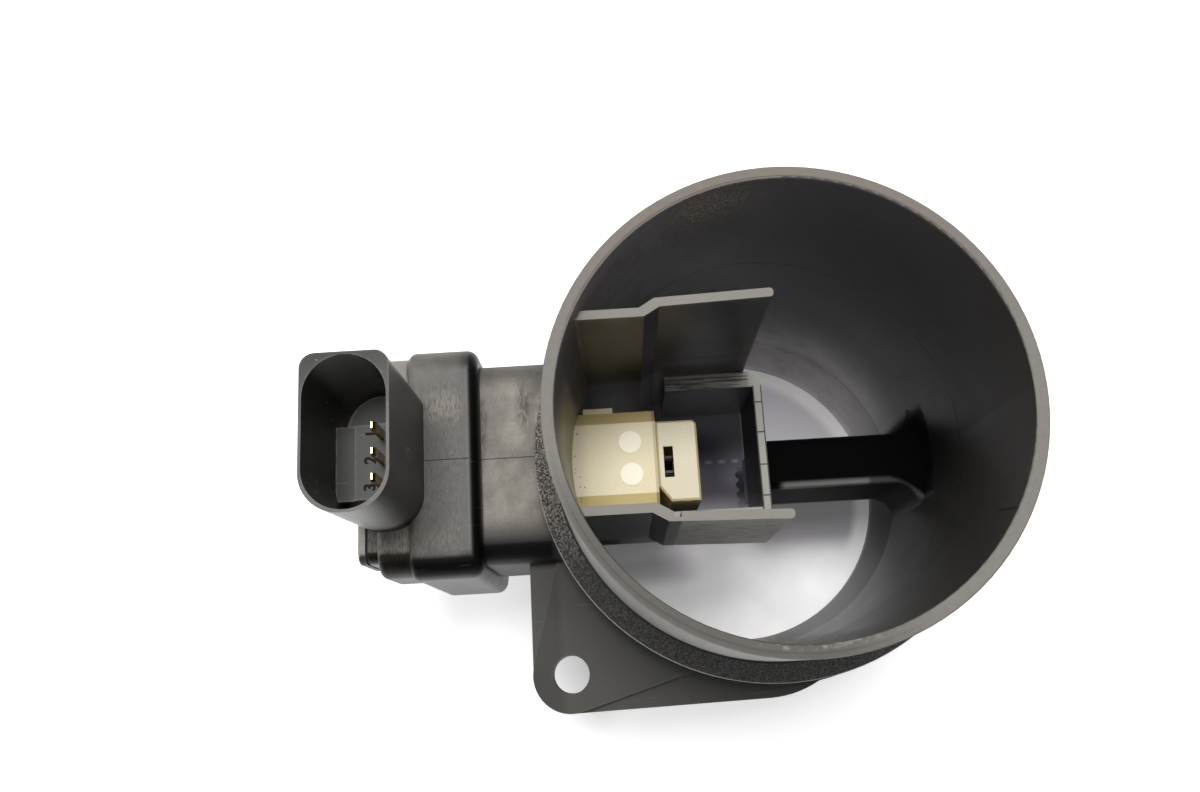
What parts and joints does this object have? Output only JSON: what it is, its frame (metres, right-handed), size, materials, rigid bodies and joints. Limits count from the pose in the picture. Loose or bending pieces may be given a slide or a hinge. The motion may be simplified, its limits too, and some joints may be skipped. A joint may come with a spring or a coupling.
{
  "type": "mass airflow sensor",
  "caption": "Mass airflow sensor with a round duct, a screw flange, an ivory sensing probe in a walled measuring channel, and a side box with an upright oval connector.",
  "frame": {"origin": "centre of the duct's bore at its rear (inlet) end face", "axes": "+Z along the bore towards the front hose rim and the way the connector opens; the electronics box is on the -X side; +Y completes the right-handed frame"},
  "size_m": [0.1276, 0.0952, 0.105],
  "materials": {
    "duct_plastic": "satin moulded black nylon with glass fibre, dusty",
    "case_plastic": "satin moulded black nylon, handled and slightly shiny",
    "cover_plastic": "satin moulded black nylon",
    "seal_rubber": "smooth black rubber",
    "spreader_aluminium": "plain rolled",
    "board_resin": "green resin board",
    "chip_plastic": "moulded black epoxy",
    "capacitor_ceramic": "fired tan ceramic",
    "resistor_ceramic": "dark glazed ceramic",
    "ribbon_aluminium": "bright drawn ribbon",
    "terminal_brass": "gold-flashed brass",
    "lead_steel": "tinned strip",
    "probe_plastic": "ivory moulded plastic, dusty",
    "bypass_plastic": "ivory moulded plastic",
    "element_ceramic": "white ceramic"
  },
  "bodies": {
    "root": {"duct_housing": "duct_plastic", "spigot_seal": "seal_rubber", "electronics_case": "case_plastic", "case_cover": "cover_plastic", "cover_gasket": "seal_rubber", "heat_spreader": "spreader_aluminium", "circuit_board": "board_resin", "control_chip": "chip_plastic", "power_transistor": "chip_plastic", "board_capacitors": "capacitor_ceramic", "board_resistors": "resistor_ceramic", "bond_ribbons": "ribbon_aluminium", "probe_body": "probe_plastic", "probe_seal": "seal_rubber", "bypass_cover": "bypass_plastic", "element_leads": "lead_steel", "heater_plate": "element_ceramic", "temperature_plate": "element_ceramic", "terminal_1": "terminal_brass", "terminal_2": "terminal_brass", "terminal_3": "terminal_brass"}
  },
  "joints": []
}
